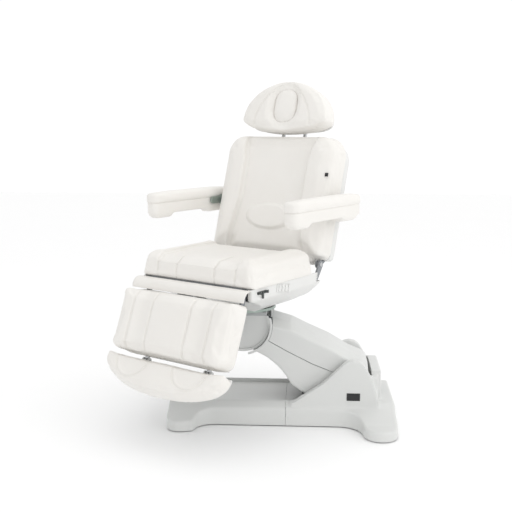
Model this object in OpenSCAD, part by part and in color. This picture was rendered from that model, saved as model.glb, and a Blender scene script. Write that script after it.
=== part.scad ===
// Electric facial treatment bed on a turntable, with a parallelogram lift arm.
// Row frame: origin on the floor under the swivel axis, +Z up, +Y towards the lift tower.
// Seat frame (seat_pose): origin on the swivel axis at cushion-top height, forward -Y, x+ the sitter's left.

/* [Base] */
// Half width of the base spine
spine_half = 200; // [180:5:220]
// Height of the crest along each side of the tray
crest_z = 102; // [90:1:115]
// Y of the seam between the front and rear covers
seam_y = 190; // [150:5:230]
// Half width of the front foot at its tips
front_tip = 296; // [260:2:320]
// Half width of the rear foot at its tips
rear_tip = 368; // [340:2:390]
// Radius of the front foot's round ends
front_r = 59; // [50:1:65]
// Radius of the rear foot's round ends
rear_r = 72; // [60:1:80]
// Wall thickness of the moulded covers
wall = 4; // [3:0.5:5]

/* [Lift arm] */
// Y of the main arm's pivot in the tower
tower_y = 480; // [460:1:500]
// Height of the main arm's pivot in the tower
tower_z = 180; // [170:1:190]
// Height of the head pivot as modelled
head_z = 428; // [420:1:436]
// Half width of the arm's covers
arm_half = 135; // [130:1:138]

/* [Head and turntable] */
// Radius of the round side cap of the head
cap_r = 108; // [100:1:112]
// Radius of the slewing ring's lower plate
ring_r = 140; // [130:1:145]

/* [Seat] */
// Turn of the seat from the base's front, as modelled
swivel = 57.7; // [50:0.1:65]
// Height of the seat cushion's top
seat_top = 747; // [740:1:755]
// Half width of the seat cushion
seat_half = 300; // [290:1:305]
// Thickness of the seat cushion
seat_t = 98; // [90:1:100]
// Front edge of the seat cushion, ahead of the swivel axis
seat_front = 358; // [350:1:365]
// Rear edge of the seat cushion, behind the swivel axis
seat_rear = 105; // [95:1:108]

/* [Backrest] */
// Angle of the backrest from flat, as modelled
back_angle = 73.4; // [60:0.1:75]
// Half width of the backrest cushion
back_half = 312; // [300:1:316]
// Length from the recline axis to the shoulders' top
back_len = 584; // [570:1:600]
// Thickness of the backrest cushion
back_t = 100; // [90:1:105]

/* [Headrest] */
// Half width of the headrest
head_half = 235; // [220:1:240]
// Height of the headrest cushion
head_h = 236; // [230:1:250]

/* [Leg and foot rest] */
// Angle of the leg rest below flat, as modelled
leg_angle = 67.8; // [60:0.1:75]
// Length of the leg rest cushion
leg_len = 273; // [265:1:275]
// Thickness of the leg rest cushion
leg_t = 95; // [85:1:95]
// Rise of the foot rest out of the leg rest's plane, as modelled
foot_angle = 20; // [10:1:25]
// Half width of the foot rest
foot_half = 310; // [300:1:312]

/* [Armrests] */
// Distance of an armrest's middle from the seat's centre plane
armrest_x = 368; // [366:1:375]
// Length of an armrest
armrest_len = 550; // [540:1:580]
// Width of an armrest
armrest_w = 76; // [70:1:78]

/* [Hidden] */
$fn = 64;

tower = [tower_y, tower_z];
head = [0, head_z];
link_off = [16, 29];
pin_r = 12;
link_pin_r = 8;
fit_gap = 0.06;
frame_bottom = 14;
rail_z = 36;
rail_top = 76;
rail_in = 150;
rail_out = 180;
tray_z = 85;
cheek_in = 150;
cheek_out = 190;
well_y = 262;
front_bar_y = -260;
rear_bar_y = 590;
cap_flat = 468;
ring_z = 485;
bearing_z = 497.3;
bracket_z = 510 - seat_top;
tilt_axis = [110, -187];
recline_axis = [185, -70];
leg_axis = [-333, -115];
hinge_r = 10;
hinge_gap = 0.06;
leg_top = -385;
back_low = 206;
back_end = 185 + back_len;
head_gap = 6;
headrest_y = back_end + head_gap;
foot_axis = [-672, -112];
armrest_front = -210;
armrest_pivot = [255, 184];
grey_light = [0.84, 0.84, 0.83];
steel_paint = [0.55, 0.56, 0.58];

// ---- shared helpers -------------------------------------------------------------------------

// Extrudes an outline drawn in (y, z) along X, centred on x = 0.
module along_x(width) {
  rotate([90, 0, 90]) translate([0, 0, -width / 2]) linear_extrude(width) children();
}

// Copies a shape to x = +d and x = -d.
module both_sides(d) {
  for (s = [-1, 1]) translate([s * d, 0, 0]) children();
}

// A rod along X with its middle at (y, z).
module cross_rod(p, r, width) {
  translate([-width / 2, p[0], p[1]]) rotate([0, 90, 0]) cylinder(r = r, h = width);
}

// A plate with round vertical edges, standing on z = 0.
module round_plate(w, l, h, r) {
  linear_extrude(h) rounded(w, l, r);
}

module rounded(w, l, r) {
  square([w - 2 * r, l], center = true);
  square([w, l - 2 * r], center = true);
  for (sx = [-1, 1], sy = [-1, 1]) translate([sx * (w / 2 - r), sy * (l / 2 - r)]) circle(r);
}

// A flat link between two points of a (y, z) outline.
module link_outline(a, b, half) {
  length = norm(b - a);
  translate(a) rotate(atan2(b[1] - a[1], b[0] - a[0])) translate([0, -half])
    square([length, 2 * half]);
}

module seat_pose() {
  translate([0, 0, seat_top]) rotate([0, 0, swivel]) children();
}

// Turns the parts of a flat panel about an axis along X.
module turned(axis, angle) {
  translate([0, axis[0], axis[1]]) rotate([angle, 0, 0]) translate([0, -axis[0], -axis[1]])
    children();
}

module back_pose() { seat_pose() turned(recline_axis, back_angle) children(); }
module leg_pose() { seat_pose() turned(leg_axis, leg_angle) children(); }
module foot_pose() { leg_pose() turned(foot_axis, -foot_angle) children(); }

// ---- base -----------------------------------------------------------------------------------

module foot_plan(y, tip, r, inset) {
  for (s = [-1, 1]) translate([s * (tip - r), y]) circle(r - inset);
  translate([-(tip - r), y - r + inset]) square([2 * (tip - r), 2 * (r - inset)]);
}

// A concave corner between the spine and a foot; dir is +1 when the foot lies behind it.
module fillet_plan(y, r, dir, inset) {
  for (s = [-1, 1]) scale([s, 1]) difference() {
    translate([spine_half - 30, dir > 0 ? y : y - r - 30])
      square([r + 30 - inset, r + 30]);
    translate([spine_half + r, y]) circle(r + inset);
  }
}

module spine_plan(y0, y1, inset) {
  translate([-spine_half + inset, y0]) square([2 * (spine_half - inset), y1 - y0]);
}

// Height of the covers across the base: crests beside the tray, falling to the foot tips.
module base_section(depth) {
  crest = 162;
  polygon([[-rear_tip, 0], [-rear_tip, 42 - depth], [-front_tip, 46 - depth],
    [-spine_half, 79 - depth], [-crest, crest_z - depth], [crest, crest_z - depth],
    [spine_half, 79 - depth], [front_tip, 46 - depth], [rear_tip, 42 - depth], [rear_tip, 0]]);
}

module section_bar(y0, y1, depth) {
  translate([0, y1, 0]) rotate([90, 0, 0]) linear_extrude(y1 - y0) base_section(depth);
}

module front_body(inset, z0) {
  intersection() {
    translate([0, 0, z0]) linear_extrude(150) {
      foot_plan(front_bar_y, front_tip, front_r, inset);
      spine_plan(front_bar_y, seam_y - 0.5, inset);
      fillet_plan(front_bar_y + front_r + 85, 85, -1, inset);
    }
    section_bar(-400, seam_y + 1, inset);
  }
}

module tray_cut(y0, y1, depth) {
  translate([-rail_in - depth, y0, tray_z - depth]) cube([2 * (rail_in + depth), y1 - y0, 60]);
}

module base_front_cover() color(grey_light) difference() {
  difference() {
    front_body(0, 4);
    tray_cut(-255, seam_y + 2, 0);
  }
  difference() {
    front_body(wall, -1);
    tray_cut(-255 - wall, seam_y + 2, wall);
  }
  translate([-spine_half + wall, seam_y - 12, -1]) cube([2 * (spine_half - wall), 20, 75]);
}

module cheek_outline(d) {
  crest = [tower_y, 234];
  translate(crest) circle(60 - d);
  low = crest_z - 4 - 10 * d;
  polygon([[seam_y + 20, low], [228, 106 - d], [280, 138 - d], [345, 183 - d],
    [tower_y - 42 + 0.7 * d, 276 - 0.7 * d], crest, [tower_y + 59 - d, 245], [576 - d, 170],
    [592 - d, low]]);
}

module rear_plan(inset) {
  foot_plan(rear_bar_y, rear_tip, rear_r, inset);
  spine_plan(seam_y + 0.5, rear_bar_y, inset);
  fillet_plan(rear_bar_y - rear_r - 100, 100, 1, inset);
}

module rear_outer() {
  intersection() {
    translate([0, 0, 4]) linear_extrude(150) rear_plan(0);
    section_bar(seam_y, 700, 0);
  }
  both_sides((cheek_in + cheek_out) / 2) along_x(cheek_out - cheek_in) cheek_outline(0);
  translate([-cheek_in - 1, 562, 60]) cube([2 * cheek_in + 2, 28, 170]);
  translate([0, 576, 60]) linear_extrude(175) rounded(240, 56, 20);
}

module rear_inner() {
  intersection() {
    translate([0, 0, -1]) linear_extrude(150) rear_plan(wall);
    section_bar(seam_y, 700, wall);
  }
  both_sides((cheek_in + cheek_out) / 2) along_x(cheek_out - cheek_in - 2 * wall)
    cheek_outline(wall);
  translate([-cheek_in - 2, 562 + wall, 50]) cube([2 * cheek_in + 4, 28 - 2 * wall, 170]);
  translate([0, 576, 50]) linear_extrude(180) rounded(240 - 2 * wall, 56 - 2 * wall, 20 - wall);
}

module base_rear_cover() color(grey_light) difference() {
  rear_outer();
  difference() {
    rear_inner();
    tray_cut(seam_y - 5, well_y + wall, wall);
    translate([-cheek_in - wall + 0.01, well_y, tray_z - wall])
      cube([2 * (cheek_in + wall) - 0.02, 562 - well_y + 0.01, 300]);
  }
  tray_cut(seam_y - 5, well_y + 1, 0);
  translate([-cheek_in, well_y, -1]) cube([2 * cheek_in, 562 - well_y, 320]);
  translate([-27, 595, 135]) cube([54, 20, 32]);
  // Clearance round the arm's and the link's pins.
  cross_rod(tower, pin_r + 2, 2 * cheek_in + 12);
  cross_rod(tower + link_off, link_pin_r + 2, 2 * cheek_in + 12);
}

module levelling_feet() color([0.2, 0.2, 0.21])
  for (p = [[0, 0], [-240, front_bar_y], [240, front_bar_y], [-300, rear_bar_y], [300, rear_bar_y]])
    translate([p[0], p[1], 0]) {
      cylinder(r = 24, h = 8);
      translate([0, 0, 8]) cylinder(r = 9, h = frame_bottom - 8);
    }

module tower_plate() {
  translate(tower) circle(36);
  translate(tower + link_off) circle(28);
  polygon([[400, rail_top], [tower_y - 34, tower_z + 8], [tower_y - 10, tower_z + 36],
    [tower_y + 43, tower_z + 35], [tower_y + 60, tower_z], [572, rail_top]]);
}

module base_frame() color(steel_paint) {
  // Two cross tubes under the feet, one under the middle, with the long rails on top.
  translate([-270, front_bar_y - 25, frame_bottom]) cube([540, 50, rail_z - frame_bottom]);
  translate([-330, rear_bar_y - 30, frame_bottom]) cube([660, 60, 24 - 2]);
  translate([-rail_out, -25, frame_bottom]) cube([2 * rail_out, 50, rail_z - frame_bottom]);
  for (s = [-1, 1]) translate([s > 0 ? rail_in + 5 : -rail_out + 5, front_bar_y - 20, rail_z])
    cube([rail_out - rail_in - 10, 850, 34]);
  // Tower plates with the two running bores.
  both_sides(165) difference() {
    union() {
      along_x(10) tower_plate();
      translate([-8, 400, 69.9]) cube([16, 172, 12]);
    }
    cross_rod(tower, pin_r + fit_gap, 40);
    cross_rod(tower + link_off, link_pin_r + fit_gap, 40);
  }
  // Tie bar behind the arm and the ears of the lift actuator.
  translate([-161, 545, rail_z + 10]) cube([322, 14, 34]);
  translate([-161, 392, 38]) cube([322, 26, 14]);
  both_sides(30) difference() {
    union() {
      along_x(8) translate([lift_base[0], lift_base[1]]) circle(15);
      translate([-4, lift_base[0] - 13, 50]) cube([8, 26, lift_base[1] - 50]);
    }
    cross_rod(lift_base, 8 + fit_gap, 20);
  }
}

module power_inlet() color([0.08, 0.08, 0.09]) {
  difference() {
    translate([-26.5, 590, 135.5]) cube([53, 15.5, 31]);
    translate([-20, 596, 141]) cube([40, 20, 20]);
  }
  for (p = [[-8, 148], [8, 148], [0, 155]]) translate([p[0] - 1, 593, p[1]]) cube([2, 10, 4]);
}

module rating_plate() color([0.1, 0.12, 0.11])
  translate([cheek_out, 452, 118]) cube([1, 57, 33]);

module cover_screws() color([0.8, 0.8, 0.79])
  for (s = [-1, 1], p = [[203, 24], [176, 24]])
    translate([s * (spine_half + 0.01), p[0], p[1]]) rotate([0, s * 90, 0]) cylinder(r = 4, h = 1.5);

module control_box() color([0.3, 0.3, 0.32]) difference() {
  translate([-120, -140, rail_z]) cube([240, 200, 40]);
  translate([-116, -136, rail_z + 4]) cube([232, 192, 32]);
  translate([-60, 55, rail_z + 10]) cube([120, 10, 12]);
}

// ---- lift arm -------------------------------------------------------------------------------

lift_base = [400, 76];
lift_tip = [150, head_z - 150 * (head_z - tower_z) / tower_y];

module main_arm() color(steel_paint) {
  both_sides(100) difference() {
    along_x(8) {
      translate(tower) circle(23);
      translate(head) circle(30);
      link_outline(head, tower, 22);
    }
    cross_rod(tower, pin_r, 20);
    cross_rod(head, pin_r, 20);
    cross_rod(lift_tip, 8, 20);
  }
  cross_rod([330, head_z - 330 * (head_z - tower_z) / tower_y], 14, 194);
  // Blocks that carry the lower cover.
  for (s = [-1, 1], y = [230, 380]) translate([s > 0 ? 103.5 : -130.9, y, head_z - 18 -
    y * (head_z - tower_z) / tower_y]) cube([27.4, 22, 18]);
}

module pivot_pins() color([0.75, 0.75, 0.77]) {
  for (s = [-1, 1]) {
    translate([s > 0 ? 96 : -172, tower_y, tower_z]) rotate([0, 90, 0])
      cylinder(r = pin_r, h = 76);
    translate([s > 0 ? 46 : -104, 0, head_z]) rotate([0, 90, 0]) cylinder(r = pin_r, h = 58);
  }
  cross_rod(lift_tip, 8, 208);
}

// Side outline of the lower cover: a swept neck below, the split line above.
module lower_outline(d) {
  difference() {
    polygon([[10, 369 + 47 - d], [99 + d, 369 - d], [196, 315 - d], [301, 262 - d],
      [401, 222 - d], [432, 204 - d], [432, 150], [372, 96 + d], [300, 104 + d], [262, 141 + d],
      [190, 150 + d], [30, 250], [10, 320]]);
    translate([-40, 60]) circle(272 + d);
    translate([262, 141]) rotate(-46) translate([-80, -60 + d]) square([160, 60]);
    translate(head) circle(121 + d);
  }
}

module lower_arm_cover() color(grey_light) difference() {
  along_x(2 * arm_half) lower_outline(0);
  along_x(2 * (arm_half - wall)) union() {
    lower_outline(wall);
    translate([100, 0]) polygon([[-14, 330], [-14, 420], [350, 250], [350, 60], [235, 60], [215, 120],
      [150, 190], [90, 230]]);
  }
}

module upper_link() color(steel_paint) {
  a = tower + link_off;
  b = head + link_off;
  both_sides(80) along_x(8) {
    translate(a) circle(15);
    translate(b) circle(15);
    link_outline(b, a, 12);
  }
  for (s = [-1, 1]) {
    translate([s > 0 ? 83 : -172, a[0], a[1]]) rotate([0, 90, 0])
      cylinder(r = link_pin_r, h = 89);
    translate([s > 0 ? 46 : -77, b[0], b[1]]) rotate([0, 90, 0])
      cylinder(r = link_pin_r, h = 31);
  }
  // Tie rod between the two plates, and blocks that carry the upper cover.
  cross_rod((a + b) / 2, 8, 160);
  for (s = [-1, 1], y = [190, 340]) translate([s > 0 ? 76 : -130.9, y, b[1] + 9 -
    (y - b[0]) * (head_z - tower_z) / tower_y]) cube([54.9, 22, 14]);
}

// Side outline of the upper cover, from the split line up to its shoulder.
module upper_outline(rise, d) {
  polygon([[60, 392 + 3 + d], [99, 372 + d], [196, 318 + d], [301, 265 + d], [401, 225 + d],
    [440, 204 + d], [548 - d, 196 + d], [548 - d, 236], [524, 252 + rise - d],
    [466, 276 + rise - d], [378, 329 + rise - d], [278, 373 + rise - d], [212, 406 + rise - d],
    [137, 427 + rise - d], [60, 449 + rise - d]]);
}

module crowned(d) {
  hull() {
    along_x(2 * (arm_half - d)) upper_outline(0, d);
    along_x(160) upper_outline(26, d);
  }
}

module upper_arm_cover() color([0.87, 0.88, 0.9]) difference() {
  crowned(0);
  crowned(wall);
  along_x(2 * (arm_half - wall)) polygon([[40, 420], [99, 380], [301, 272], [401, 234], [549, 214],
    [549, 150], [40, 300]]);
  along_x(2 * arm_half + 2) polygon([[40, 407], [99, 372], [196, 318], [301, 265], [401, 225],
    [445, 206], [560, 196], [560, 100], [40, 200]]);
  cross_rod(head, 131, 300);
  cross_rod(tower + link_off, link_pin_r + 1, 2 * arm_half + 2);
}

// ---- actuators ------------------------------------------------------------------------------

// A motor housing along the line from a to b, with a fixed pivot pin through its eye at a.
module actuator_housing(a, b, length, pin, r, pin_width) {
  angle = atan2(b[1] - a[1], b[0] - a[0]);
  difference() {
    union() {
      cross_rod(a, pin + 6, 40);
      translate([0, a[0], a[1]]) rotate([angle, 0, 0]) {
        translate([0, pin + 4, 0]) rotate([-90, 0, 0]) cylinder(r = r, h = length - pin - 4);
        translate([0, pin + 8, -r]) rotate([-90, 0, 0]) cylinder(r = r * 0.9, h = length * 0.45);
      }
    }
    translate([0, a[0], a[1]]) rotate([angle, 0, 0]) translate([0, length * 0.3, 0])
      rotate([-90, 0, 0]) cylinder(r = 9.3, h = length);
  }
  cross_rod(a, pin, pin_width);
}

// A plunger rod along the same line; its eye at b clears the pin by the open pivot's gap.
module actuator_rod(a, b, start, eye) {
  angle = atan2(b[1] - a[1], b[0] - a[0]);
  length = norm(b - a);
  difference() {
    translate([0, a[0], a[1]]) rotate([angle, 0, 0]) {
      translate([0, start, 0]) rotate([-90, 0, 0]) cylinder(r = 9, h = length - start - eye);
      translate([-11, length, 0]) rotate([0, 90, 0]) cylinder(r = eye + 5, h = 22);
    }
    cross_rod(b, eye, 60);
  }
}

module lift_actuator_housing() color([0.25, 0.25, 0.27])
  actuator_housing(lift_base, lift_tip, 215, 8, 22, 76);
module lift_actuator_rod() color([0.8, 0.8, 0.82])
  actuator_rod(lift_base, lift_tip, 150, 13);

tilt_base = [20, -212];
tilt_tip = [-200, -128];
recline_base = [-190, -185];
recline_tip = [218, -115];
leg_base = [60, -165];
leg_tip = [-302, -161];

module tilt_actuator_housing() color([0.25, 0.25, 0.27]) seat_pose()
  actuator_housing(tilt_base, tilt_tip, 140, 6, 15, 62);
module tilt_actuator_rod() color([0.8, 0.8, 0.82]) seat_pose()
  actuator_rod(tilt_base, tilt_tip, 100, 8);
module recline_actuator_housing() color([0.25, 0.25, 0.27]) seat_pose() translate([75, 0, 0])
  actuator_housing(recline_base, recline_tip, 200, 6, 18, 62);
module recline_actuator_rod() color([0.8, 0.8, 0.82]) seat_pose() translate([75, 0, 0])
  actuator_rod(recline_base, recline_tip, 150, 15);
module leg_actuator_housing() color([0.25, 0.25, 0.27]) seat_pose() translate([-75, 0, 0])
  actuator_housing(leg_base, leg_tip, 170, 6, 18, 62);
module leg_actuator_rod() color([0.8, 0.8, 0.82]) seat_pose() translate([-75, 0, 0])
  actuator_rod(leg_base, leg_tip, 120, 15);

// ---- head and turntable ---------------------------------------------------------------------

module head_housing() color([0.6, 0.61, 0.63]) {
  difference() {
    translate([-113, -104, cap_flat]) cube([226, 208, ring_z - cap_flat]);
    both_sides(80) translate([-6, -4, cap_flat - 1]) cube([12, 109, 8]);
  }
  both_sides(54) difference() {
    along_x(12) {
      translate(head) circle(34);
      translate(head + link_off) circle(24);
      polygon([[-34, head_z], [-50, cap_flat + 1], [60, cap_flat + 1], [40, head_z + 20],
        [34, head_z], [0, head_z - 10]]);
    }
    cross_rod(head, pin_r + fit_gap, 40);
    cross_rod(head + link_off, link_pin_r + fit_gap, 40);
  }
}

module head_side_caps() color([0.8, 0.8, 0.8]) for (s = [-1, 1]) difference() {
  union() {
    translate([s > 0 ? 108 : -112, 0, head_z]) rotate([0, 90, 0]) cylinder(r = cap_r, h = 4);
    translate([s > 0 ? 106 : -118, 0, head_z]) rotate([0, 90, 0]) difference() {
      cylinder(r = cap_r + 10, h = 12);
      translate([0, 0, -1]) cylinder(r = cap_r, h = 14);
    }
  }
  translate([-150, -150, cap_flat]) cube([300, 300, 100]);
}

module slewing_ring() color([0.55, 0.62, 0.58]) translate([0, 0, ring_z]) difference() {
  cylinder(r = ring_r, h = 12, $fn = 96);
  translate([0, 0, -1]) cylinder(r = 40 + fit_gap, h = 14);
}

module turntable() color([0.12, 0.12, 0.13]) {
  translate([0, 0, bearing_z]) cylinder(r = 120, h = 510 - bearing_z, $fn = 96);
  translate([0, 0, ring_z + 1]) cylinder(r = 40, h = bearing_z - ring_z);
}

module seat_bracket() color(steel_paint) seat_pose() {
  translate([-140, -60, bracket_z]) cube([280, 200, 8]);
  both_sides(136) difference() {
    along_x(8) {
      translate(tilt_axis) circle(22);
      polygon([[-40, bracket_z + 7], [128, bracket_z + 7], [124, tilt_axis[1]],
        [tilt_axis[0] - 22, tilt_axis[1]]]);
    }
    cross_rod(tilt_axis, hinge_r + hinge_gap, 20);
  }
  both_sides(26) difference() {
    along_x(8) {
      translate(tilt_base) circle(12);
      translate([tilt_base[0] - 12, bracket_z + 7]) square([24, tilt_base[1] - bracket_z - 7]);
    }
    cross_rod(tilt_base, 6 + hinge_gap, 20);
  }
}

// ---- seat -----------------------------------------------------------------------------------

module seat_frame() color(steel_paint) seat_pose() {
  translate([-240, -340, -seat_t - 6]) cube([480, 438, 6]);
  both_sides(215) translate([-15, -305, -134]) cube([30, 465, 30.5]);
  // Cross bars that carry the leg hinge, the actuators and the backrest hinge.
  translate([-272, -305, -134]) cube([544, 25, 30]);
  for (x = [-230, 16]) translate([x, -195, -130]) cube([214, 20, 26]);
  for (x = [[-280, 310], [120, 160]]) translate([x[0], 130, -134]) cube([x[1], 30, 16]);
  both_sides(260) difference() {
    along_x(8) {
      translate(leg_axis) circle(15);
      translate([leg_axis[0], leg_axis[1] - 15]) square([50, 30]);
    }
    cross_rod(leg_axis, hinge_r, 20);
  }
  both_sides(280) difference() {
    along_x(8) {
      translate(recline_axis) circle(18);
      polygon([[132, -134], [160, -134], [202, -78], [178, -54]]);
    }
    cross_rod(recline_axis, hinge_r, 20);
  }
  both_sides(124) difference() {
    along_x(8) {
      translate(tilt_axis) circle(20);
      polygon([[tilt_axis[0] - 20, tilt_axis[1]], [tilt_axis[0] + 20, tilt_axis[1]], [160, -133],
        [130, -133]]);
    }
    cross_rod(tilt_axis, hinge_r, 20);
  }
  // Ears for the tilt, recline and leg actuators.
  both_sides(22) difference() {
    along_x(8) {
      translate(tilt_tip) circle(12);
      translate([tilt_tip[0] - 2, tilt_tip[1]]) square([20, 14]);
    }
    cross_rod(tilt_tip, 6, 20);
  }
  translate([75, 0, 0]) both_sides(26) difference() {
    along_x(8) {
      translate(recline_base) circle(12);
      translate([recline_base[0] - 4, recline_base[1]]) square([16, 60]);
    }
    cross_rod(recline_base, 6 + hinge_gap, 20);
  }
  translate([-75, 0, 0]) both_sides(26) difference() {
    along_x(8) {
      translate(leg_base) circle(12);
      translate([leg_base[0] - 8, leg_base[1]]) square([16, 62]);
    }
    cross_rod(leg_base, 6 + hinge_gap, 20);
  }
}

module hinge_pins() color([0.75, 0.75, 0.77]) seat_pose() {
  for (s = [-1, 1]) {
    translate([s > 0 ? 120 : -142, tilt_axis[0], tilt_axis[1]]) rotate([0, 90, 0])
      cylinder(r = hinge_r, h = 22);
    translate([s > 0 ? 262 : -286, recline_axis[0], recline_axis[1]]) rotate([0, 90, 0])
      cylinder(r = hinge_r, h = 24);
    translate([s > 0 ? 242 : -264, leg_axis[0], leg_axis[1]]) rotate([0, 90, 0])
      cylinder(r = hinge_r, h = 22);
  }
  cross_rod(tilt_tip, 6, 52);
}

module pan_body(d) {
  hull() {
    translate([0, -84, -146 + d]) round_plate(580 - 2 * d, 524 - 2 * d, 47.9 - d, 30, $fn = 32);
    translate([0, -65, -197 + d]) round_plate(490 - 2 * d, 260 - 2 * d, 2, 60, $fn = 32);
    translate([0, -15, -236 + d]) round_plate(330 - 2 * d, 280 - 2 * d, 2, 60, $fn = 32);
  }
}

module seat_pan() color([0.95, 0.95, 0.94]) seat_pose() difference() {
  pan_body(0);
  pan_body(wall);
  translate([-286, -342, -110]) cube([572, 516, 20]);
  translate([0, 20, -260]) round_plate(304, 252, 60, 30);
  translate([-272, -360, -180]) cube([544, 52, 90]);
  translate([-112, -360, -260]) cube([74, 240, 130]);
  translate([38, 110, -260]) cube([74, 90, 170]);
  translate([-290, 140, -140]) cube([580, 60, 72]);
}

module seat_cushion() color([0.97, 0.97, 0.96]) seat_pose()
  translate([0, (seat_rear - seat_front) / 2, -seat_t])
    round_plate(2 * seat_half, seat_rear + seat_front, seat_t, 34);

module front_flap() color([0.97, 0.97, 0.95]) seat_pose() along_x(596) {
  polygon([[-360, -101], [-374, -99.5], [-388, -104], [-398, -117], [-403, -136], [-400, -137],
    [-395, -119], [-386, -107], [-374, -102.5], [-360, -104]]);
}

panel_x = 290;
button_pitch = 24;

// Drawn upright about its middle, then leaned to follow the slope of the pan's side.
module panel_pose() {
  seat_pose() translate([panel_x, -121, -125]) rotate([-9, 0, 0]) children();
}

function button_spot(i) = [button_pitch * (i % 4 - 1.5), i < 4 ? 8.5 : -8.5];

module control_panel() color([0.92, 0.92, 0.91]) panel_pose() difference() {
  rotate([0, 90, 0]) round_plate(36, 104, 3, 8);
  for (i = [0:1:7]) translate([-1, button_spot(i)[0], button_spot(i)[1]]) rotate([0, 90, 0])
    cylinder(r = 6.4, h = 5);
}

module push_button(i) color([0.98, 0.98, 0.98]) panel_pose()
  translate([1.7, button_spot(i)[0], button_spot(i)[1]]) rotate([0, 90, 0])
    cylinder(r = 6, h = 4);

module button_1() push_button(0);
module button_2() push_button(1);
module button_3() push_button(2);
module button_4() push_button(3);
module button_5() push_button(4);
module button_6() push_button(5);
module button_7() push_button(6);
module button_8() push_button(7);

module hand_control_hook() color([0.4, 0.42, 0.42]) seat_pose() {
  translate([panel_x, -276, -117]) rotate([0, 90, 0]) round_plate(12, 66, 3, 5);
  translate([panel_x + 3, -280, -141]) cube([5, 8, 28]);
  for (y = [-300, -252]) translate([panel_x + 2.5, y - 4, -121]) cube([12, 8, 5]);
  for (y = [-300, -252]) translate([panel_x + 11.5, y - 4, -121]) cube([3, 8, 12]);
}

// ---- backrest, drawn flat with its face at z = 0 --------------------------------------------

shell_z = -back_t - 4;
rod_z = -116;

module back_frame() color(steel_paint) back_pose() {
  translate([-230, 214, shell_z]) cube([460, 500, 4]);
  both_sides(235) translate([-12, 212, shell_z - 24]) cube([24, 514, 24.5]);
  translate([-272, 214, shell_z - 20]) cube([544, 24, 20]);
  // Upper cross bar with the guide tubes of the headrest rods.
  difference() {
    union() {
      translate([-235, 640, shell_z - 20]) cube([470, 24, 20]);
      both_sides(60) translate([0, 560, rod_z]) rotate([-90, 0, 0]) cylinder(r = 13, h = 180);
    }
    both_sides(60) translate([0, 550, rod_z]) rotate([-90, 0, 0])
      cylinder(r = 9 + fit_gap, h = 200);
  }
  // Hinge ears, running on the pins of the seat.
  both_sides(268) difference() {
    along_x(8) {
      translate(recline_axis) circle(18);
      polygon([[170, -80], [203, -70], [205, shell_z], [238, shell_z], [238, -124], [206, -124]]);
    }
    cross_rod(recline_axis, hinge_r + hinge_gap, 20);
  }
  // Lever for the recline actuator: two ears and their pin.
  translate([75, 0, 0]) both_sides(22) along_x(8) {
    translate(recline_lug) circle(12);
    polygon([[recline_lug[0], recline_lug[1] - 12], [recline_lug[0], recline_lug[1] + 11],
      [214, -104], [238, -124]]);
  }
  translate([75, 0, 0]) cross_rod(recline_lug, 6, 52);
  // Side plates and studs that carry the armrest brackets, set into the cushion.
  both_sides(242) along_x(8) {
    translate(arm_flat) circle(14);
    translate([arm_flat[0] - 14, shell_z - 1]) square([28, arm_flat[1] - shell_z + 1]);
  }
  for (s = [-1, 1]) translate([s > 0 ? 246 : -329, arm_flat[0], arm_flat[1]]) rotate([0, 90, 0])
    cylinder(r = 9, h = 83);
}

// The actuator lug and the armrest pivot, taken back into the flat drawing of the backrest.
function unturn(p, axis, angle) = let (c = cos(angle), s = sin(angle), y = p[0] - axis[0],
  z = p[1] - axis[1]) [axis[0] + y * c + z * s, axis[1] - y * s + z * c];
recline_lug = unturn(recline_tip, recline_axis, back_angle);
arm_flat = unturn(armrest_pivot, recline_axis, back_angle);
leg_lug = unturn(leg_tip, leg_axis, leg_angle);

module back_plan(half, low, top, r, shoulder) {
  polygon([[-half, low + r], [-half + r, low], [half - r, low], [half, low + r],
    [half, top - shoulder], [half - 22, top - shoulder * 0.45], [half - 62, top - 14],
    [half - 112, top], [-half + 112, top], [-half + 62, top - 14],
    [-half + 22, top - shoulder * 0.45], [-half, top - shoulder]]);
}

module back_shell() color([0.95, 0.95, 0.94]) back_pose() difference() {
  translate([0, 0, shell_z - 42]) linear_extrude(41.9) back_plan(304, 206, back_end - 18, 20, 80);
  translate([0, 0, shell_z - 38]) linear_extrude(50) back_plan(300, 210, back_end - 22, 18, 80);
  translate([38, 190, -180]) cube([74, 60, 90]);
  both_sides(268) translate([-8, 200, -150]) cube([16, 60, 60]);
  both_sides(60) translate([0, 730, rod_z]) rotate([-90, 0, 0]) cylinder(r = 11, h = 40);
}

module back_cushion() color([0.97, 0.97, 0.96]) back_pose() difference() {
  translate([0, 0, -back_t]) linear_extrude(back_t) {
    back_plan(back_half, back_low, back_end, 22, 90);
    translate([-250, 172]) square([500, 60]);
  }
  translate([58, 171, -back_t - 1]) cube([34, 9, 13]);
  for (s = [-1, 1]) translate([s > 0 ? 240 : -back_half - 1, arm_flat[0], arm_flat[1]])
    rotate([0, 90, 0]) cylinder(r = 11, h = back_half - 239);
  both_sides(242) along_x(11) {
    translate(arm_flat) circle(16);
    translate([arm_flat[0] - 16, -back_t - 1]) square([32, arm_flat[1] + back_t + 1]);
  }
}

// ---- headrest -------------------------------------------------------------------------------

head_hinge = [headrest_y + 56, -102];

module headrest_rods() color([0.78, 0.78, 0.8]) back_pose() {
  both_sides(60) translate([0, 575, rod_z]) rotate([-90, 0, 0])
    cylinder(r = 9, h = head_hinge[0] - 575 - 10);
  translate([-75, head_hinge[0] - 22, -124]) cube([150, 12, 16]);
  both_sides(40) along_x(8) {
    translate(head_hinge) circle(8);
    polygon([[head_hinge[0] - 12, -120], [head_hinge[0] - 12, -110], [head_hinge[0] - 4, -96],
      [head_hinge[0] + 6, -108]]);
  }
  cross_rod(head_hinge, 5, 110);
}

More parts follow.
